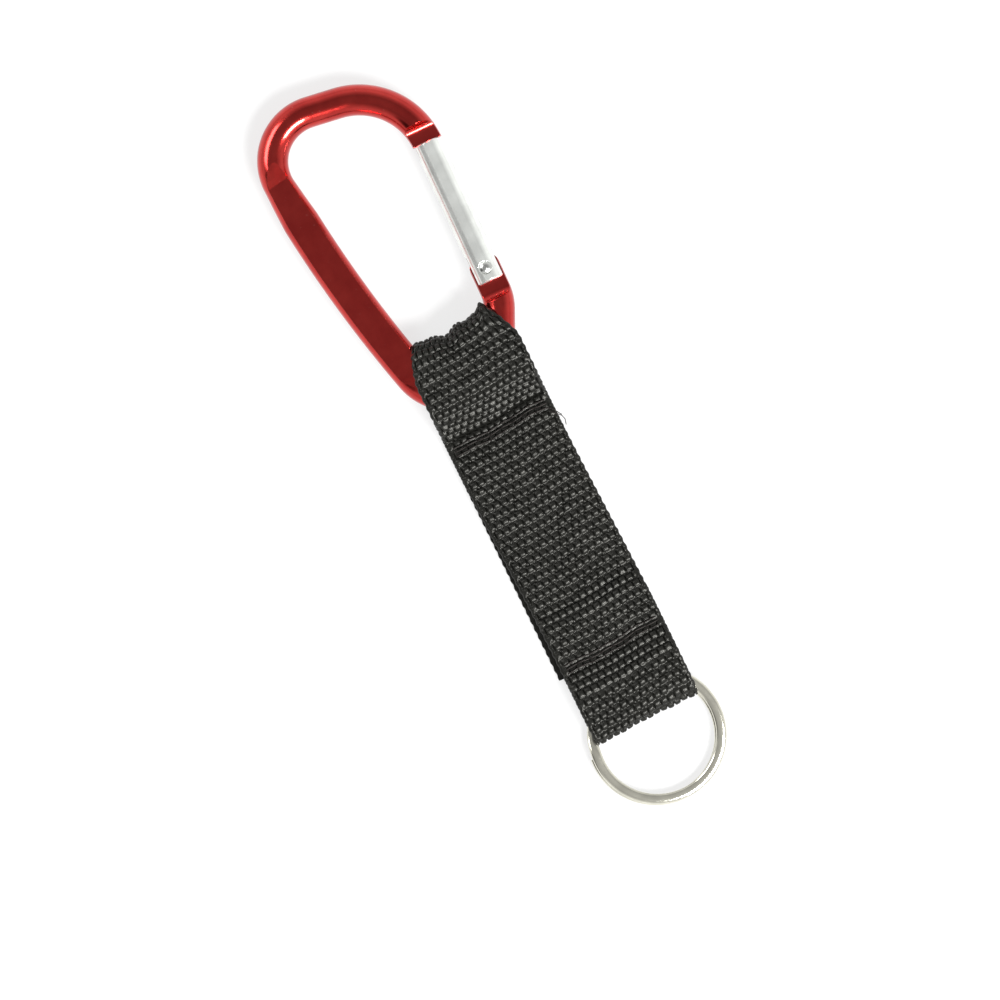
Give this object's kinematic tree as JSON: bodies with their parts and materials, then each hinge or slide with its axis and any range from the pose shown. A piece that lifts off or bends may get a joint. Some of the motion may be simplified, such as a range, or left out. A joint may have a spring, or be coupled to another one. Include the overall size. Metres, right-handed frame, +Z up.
{
  "type": "carabiner keyring",
  "caption": "Anodised aluminium carabiner with a spring gate, joined by a stitched webbing strap to a split ring for keys.",
  "frame": {"origin": "bottom centre of the whole object's box, as it lies flat on a table", "axes": "+Y along the strap from the split ring to the carabiner, +Z up out of the table, +X to the right, on the gate's side"},
  "size_m": [0.0399, 0.1728, 0.0104],
  "materials": {
    "anodised_rod": "gloss",
    "gate_metal": "satin",
    "spring_steel": "satin",
    "webbing": "matte",
    "thread": "matte",
    "ring_plating": "gloss"
  },
  "bodies": {
    "carabiner": {"carabiner_body": "anodised_rod", "webbing_carabiner_loop": "webbing"},
    "gate": {"gate_barrel": "gate_metal", "gate_rivet": "gate_metal", "gate_spring": "spring_steel"},
    "plunger": {"gate_plunger": "spring_steel"},
    "strap": {"webbing_front_ply": "webbing", "webbing_back_ply": "webbing", "webbing_return_ply": "webbing", "upper_seam_thread": "thread", "lower_seam_thread": "thread"},
    "ring_loop": {"webbing_ring_loop": "webbing"},
    "ring": {"split_ring": "ring_plating"}
  },
  "joints": [
    {"name": "gate_hinge", "type": "hinge", "parent": "carabiner", "child": "gate", "pos_m": [0.01576, 0.03569, 0.00468], "axis": [0, 0.027, 0.9996], "range_deg": [0, 40], "stiffness_Nm_per_rad": 0.03, "springref_deg": -20.05},
    {"name": "plunger_slide", "type": "slide", "parent": "gate", "child": "plunger", "axis": [0.0218, 0.9994, -0.027], "range_m": [0, 0.0013], "deforming": ["gate_spring"]},
    {"name": "strap_flex", "type": "hinge", "parent": "carabiner", "child": "strap", "pos_m": [0.00355, 0.00659, 0.0016], "axis": [1, 0, 0], "range_deg": [-40, 60]},
    {"name": "ring_loop_flex", "type": "hinge", "parent": "strap", "child": "ring_loop", "pos_m": [0.00355, -0.05261, 0.0032], "axis": [1, 0, 0], "range_deg": [-55, 55]},
    {"name": "ring_spin", "type": "hinge", "parent": "ring_loop", "child": "ring", "pos_m": [0.00495, -0.07141, 0.00242], "axis": [0, -0.0767, 0.9971], "continuous": true}
  ],
  "couplings": [
    {"joint": "plunger_slide", "follows": "gate_hinge", "m_per_rad": 0.0017}
  ]
}
